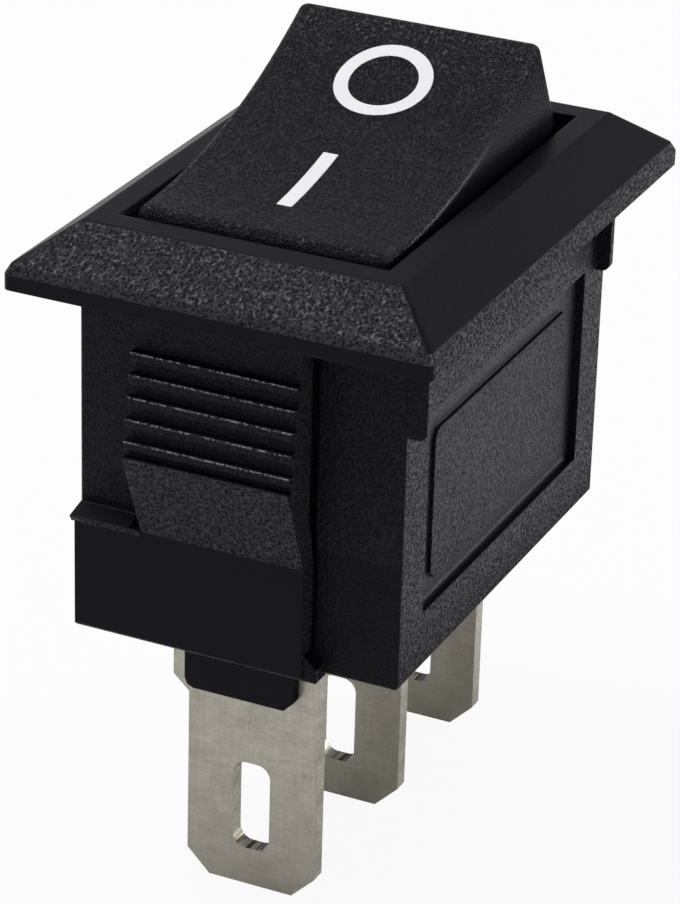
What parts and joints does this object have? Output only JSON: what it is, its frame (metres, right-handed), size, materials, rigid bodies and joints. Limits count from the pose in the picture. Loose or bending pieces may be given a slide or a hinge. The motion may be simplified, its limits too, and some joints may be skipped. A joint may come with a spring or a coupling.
{
  "type": "rocker switch",
  "caption": "Snap-in panel rocker switch with a bevelled rectangular bezel, a concave rocker marked I and O, ridged snap arms and slotted flat solder tabs below.",
  "frame": {"origin": "centre of the panel cut-out in the plane of the bezel's underside", "axes": "+X along the bezel's long side towards the end of the rocker that stands up, +Y across the bezel, +Z out of the panel through the rocker"},
  "size_m": [0.021, 0.0152, 0.0277],
  "materials": {
    "housing_plastic": "black moulded plastic with a fine spark-eroded grain",
    "rocker_plastic": "black moulded plastic with a fine spark-eroded grain",
    "plunger_plastic": "smooth natural plastic",
    "spring_steel": "bright drawn wire",
    "tab_metal": "stamped strip with a dull warm grey plating",
    "bridge_brass": "stamped brass strip",
    "contact_silver": "satin silver alloy",
    "mark_white": "white print of the O and I marks on the rocker"
  },
  "bodies": {
    "housing_body": {"housing": "housing_plastic", "common_terminal": "tab_metal", "throw_terminal_open": "tab_metal", "throw_terminal_closed": "tab_metal", "fixed_contact_open": "contact_silver", "fixed_contact_closed": "contact_silver"},
    "rocker_body": {"rocker": "rocker_plastic", "spring": "spring_steel"},
    "plunger_body": {"plunger": "plunger_plastic"},
    "bridge_body": {"contact_bridge": "bridge_brass", "moving_contact_open": "contact_silver", "moving_contact_closed": "contact_silver"}
  },
  "joints": [
    {"name": "rocker_pivot", "type": "hinge", "parent": "housing_body", "child": "rocker_body", "pos_m": [0, 0, -0.0002], "axis": [0, 1, 0], "range_deg": [0, 31.6]},
    {"name": "bridge_rock", "type": "hinge", "parent": "housing_body", "child": "bridge_body", "pos_m": [0, 0, -0.008], "axis": [0, 1, 0], "range_deg": [-11, 0]},
    {"name": "plunger_slide", "type": "slide", "parent": "rocker_body", "child": "plunger_body", "axis": [-0.2723, 0, 0.9622], "range_m": [0, 0.0006], "stiffness_N_per_m": 300, "springref_m": -0.001, "deforming": ["spring"]}
  ],
  "couplings": [
    {"joint": "bridge_rock", "follows": "rocker_pivot", "ratio": -0.3481}
  ]
}
